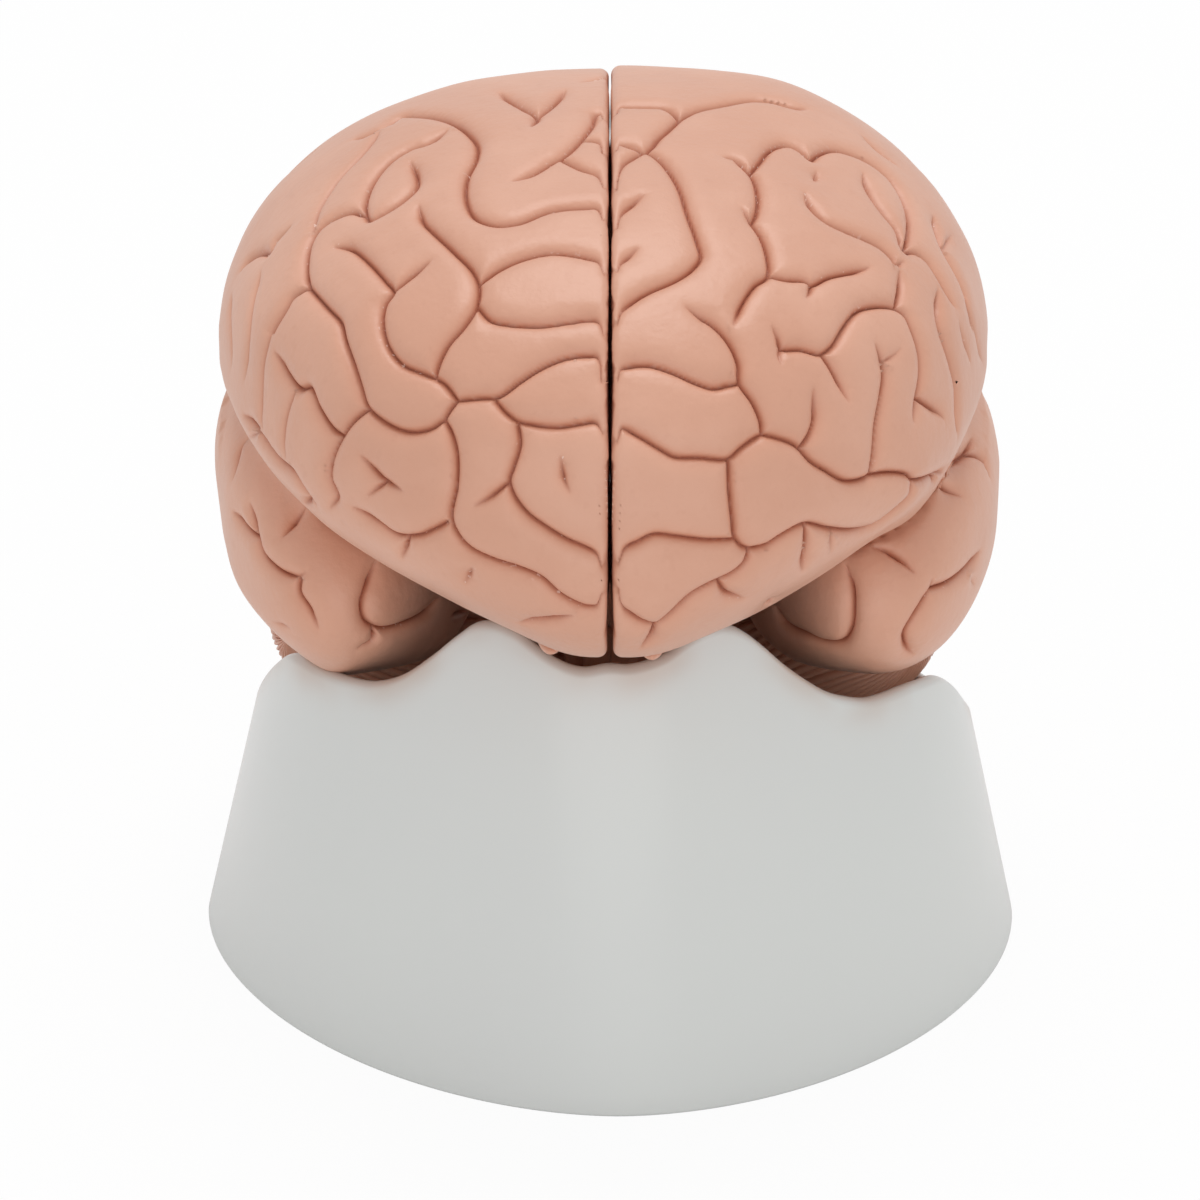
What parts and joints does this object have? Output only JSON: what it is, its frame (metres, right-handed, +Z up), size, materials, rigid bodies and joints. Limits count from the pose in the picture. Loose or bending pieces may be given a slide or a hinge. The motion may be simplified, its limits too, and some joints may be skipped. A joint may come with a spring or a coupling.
{
  "type": "brain anatomy model",
  "caption": "Life-size human brain teaching model in a left and a right half with carved furrows, lobes, cerebellum and brain stem, resting in a moulded scoop-shaped stand.",
  "frame": {"origin": "on the table, under the middle of the model's bounding box", "axes": "+Z up, -Y towards the frontal poles and the high front of the stand, -X towards the brain's right half, +Y along the brain's length"},
  "size_m": [0.1484, 0.1701, 0.1559],
  "materials": {
    "brain_plastic": "painted, satin",
    "stand_plastic": "smooth, light grey white",
    "pin_steel": "turned"
  },
  "bodies": {
    "root": {"right_half": "brain_plastic", "left_half": "brain_plastic", "stand": "stand_plastic", "locating_pins": "pin_steel"}
  },
  "joints": []
}
